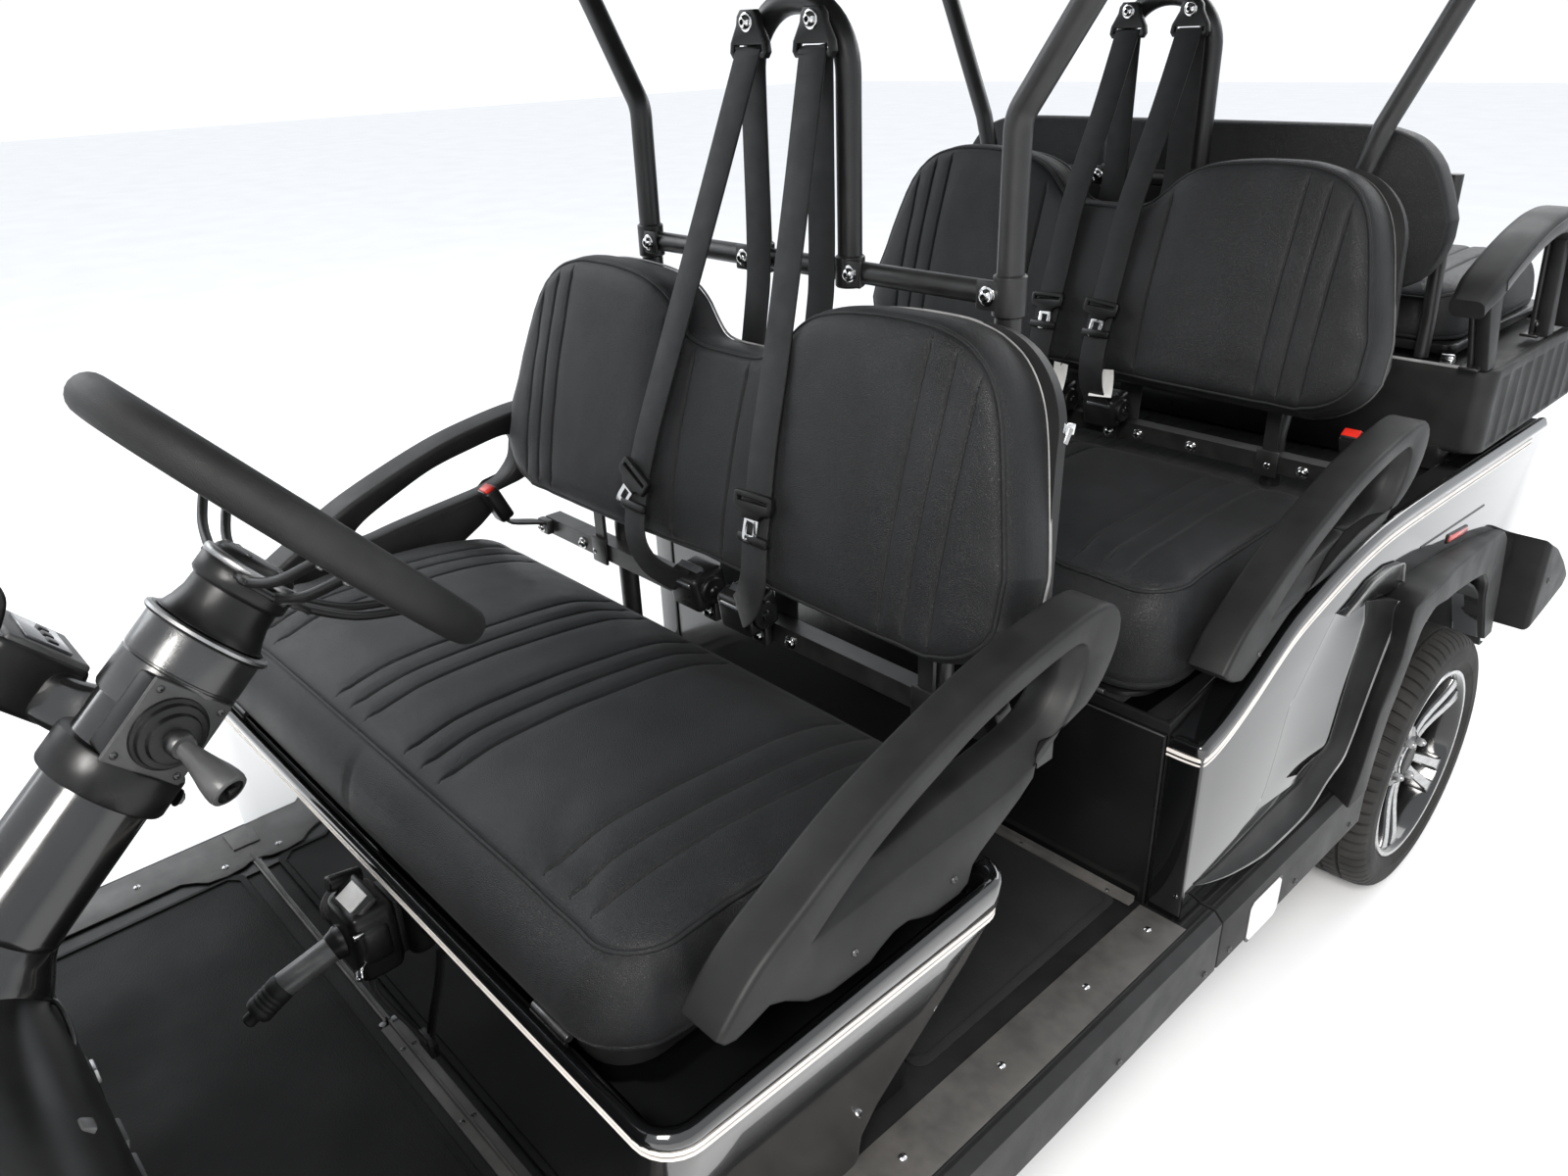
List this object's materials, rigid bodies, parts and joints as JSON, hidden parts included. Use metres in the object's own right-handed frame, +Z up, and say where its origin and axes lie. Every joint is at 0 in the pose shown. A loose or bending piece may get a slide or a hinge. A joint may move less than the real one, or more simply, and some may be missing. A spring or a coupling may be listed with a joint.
{
  "type": "six-seat golf cart",
  "caption": "Open golf cart with two forward benches, a rear-facing flip bench, fixed canopy roof and windscreen, belts, armrests and alloy road wheels.",
  "frame": {"origin": "on the ground under the middle of the vehicle's box", "axes": "+X to the vehicle's left, +Y to its rear, +Z up; the front faces -Y"},
  "size_m": [1.3, 3.862, 2.0399],
  "materials": {
    "gloss_body": "glossy black paint on moulded body panels, with a double light pinstripe",
    "moulded_black": "fine-textured matte black moulded plastic",
    "frame_steel": "black powder coat on steel tube",
    "seat_vinyl": "charcoal black vinyl with stitched channels and piping",
    "floor_rubber": "ribbed black rubber mat",
    "grip": "soft moulded black grip",
    "axle_iron": "black painted cast and forged steel",
    "battery_case": "grey battery case",
    "tyre": "black rubber, low profile road tread",
    "rim_alloy": "gloss black alloy with machined spoke faces",
    "clear_pane": "clear acrylic pane",
    "lamp_clear": "clear lamp lens",
    "lamp_red": "red lamp lens"
  },
  "bodies": {
    "root": {"battery_block": "battery_case", "belt_fittings": "moulded_black", "body_sides": "gloss_body", "chassis_frame": "frame_steel", "dashboard": "moulded_black", "drive_motor": "axle_iron", "drive_selector": "moulded_black", "floor_pan": "floor_rubber", "front_armrests": "moulded_black", "front_axle": "axle_iron", "front_back_frame": "frame_steel", "front_bumper": "moulded_black", "front_cowl": "gloss_body", "front_fenders": "moulded_black", "front_seat_back": "seat_vinyl", "front_seat_box": "gloss_body", "headlights": "lamp_clear", "middle_armrests": "moulded_black", "middle_back_frame": "frame_steel", "middle_seat_back": "seat_vinyl", "middle_seat_box": "moulded_black", "pedals": "frame_steel", "rear_axle": "axle_iron", "rear_back_frame": "frame_steel", "rear_bumper": "moulded_black", "rear_deck": "moulded_black", "rear_flares": "moulded_black", "rear_footplate": "floor_rubber", "rear_hip_restraints": "moulded_black", "rear_seat_back": "seat_vinyl", "rear_seat_base": "moulded_black", "rockers": "moulded_black", "roof": "gloss_body", "seat_back_shells": "moulded_black", "steering_column": "frame_steel", "tail_lights": "lamp_red", "windscreen": "clear_pane", "windscreen_frame": "frame_steel"},
    "left_knuckle": {"front_left_knuckle": "axle_iron"},
    "right_knuckle": {"front_right_knuckle": "axle_iron"},
    "tie_rod": {"tie_rod": "axle_iron"},
    "front_left_wheel": {"front_left_tyre": "tyre", "front_left_rim": "rim_alloy"},
    "front_right_wheel": {"front_right_tyre": "tyre", "front_right_rim": "rim_alloy"},
    "rear_left_wheel": {"rear_left_tyre": "tyre", "rear_left_rim": "rim_alloy"},
    "rear_right_wheel": {"rear_right_tyre": "tyre", "rear_right_rim": "rim_alloy"},
    "steering_wheel": {"steering_wheel": "grip"},
    "front_seat": {"front_seat_cushion": "seat_vinyl", "front_seat_pan": "moulded_black"},
    "middle_seat": {"middle_seat_cushion": "seat_vinyl", "middle_seat_pan": "moulded_black"},
    "flip_seat": {"flip_seat_pan": "moulded_black", "rear_seat_cushion": "seat_vinyl"}
  },
  "joints": [
    {"name": "left_steer", "type": "hinge", "parent": "root", "child": "left_knuckle", "pos_m": [0.44, -1.509, 0.26], "axis": [0, 0, 1], "range_deg": [-30, 30]},
    {"name": "right_steer", "type": "hinge", "parent": "root", "child": "right_knuckle", "pos_m": [-0.44, -1.509, 0.26], "axis": [0, 0, 1], "range_deg": [-30, 30]},
    {"name": "tie_rod_turn", "type": "hinge", "parent": "left_knuckle", "child": "tie_rod", "pos_m": [0.44, -1.397, 0.252], "axis": [0, 0, 1], "range_deg": [-30, 30]},
    {"name": "steering_wheel_turn", "type": "hinge", "parent": "root", "child": "steering_wheel", "pos_m": [0.25, -0.736, 1.208], "axis": [0, 0.7431, 0.6691], "range_deg": [-360, 360]},
    {"name": "front_left_spin", "type": "hinge", "parent": "left_knuckle", "child": "front_left_wheel", "pos_m": [0.5255, -1.509, 0.26], "axis": [1, 0, 0], "continuous": true},
    {"name": "front_right_spin", "type": "hinge", "parent": "right_knuckle", "child": "front_right_wheel", "pos_m": [-0.5255, -1.509, 0.26], "axis": [1, 0, 0], "continuous": true},
    {"name": "rear_left_spin", "type": "hinge", "parent": "root", "child": "rear_left_wheel", "pos_m": [0.5255, 1.058, 0.26], "axis": [1, 0, 0], "continuous": true},
    {"name": "rear_right_spin", "type": "hinge", "parent": "root", "child": "rear_right_wheel", "pos_m": [-0.5255, 1.058, 0.26], "axis": [1, 0, 0], "continuous": true},
    {"name": "front_seat_tilt", "type": "hinge", "parent": "root", "child": "front_seat", "pos_m": [0, -0.659, 0.7185], "axis": [1, 0, 0], "range_deg": [0, 35]},
    {"name": "middle_seat_tilt", "type": "hinge", "parent": "root", "child": "middle_seat", "pos_m": [0, 0.216, 0.7065], "axis": [1, 0, 0], "range_deg": [0, 35]},
    {"name": "flip_seat_fold", "type": "hinge", "parent": "root", "child": "flip_seat", "pos_m": [0, 1.616, 1.011], "axis": [-1, 0, 0], "range_deg": [0, 180]}
  ],
  "couplings": [
    {"joint": "right_steer", "follows": "left_steer", "ratio": 1},
    {"joint": "tie_rod_turn", "follows": "left_steer", "ratio": -1},
    {"joint": "steering_wheel_turn", "follows": "left_steer", "ratio": 12}
  ]
}
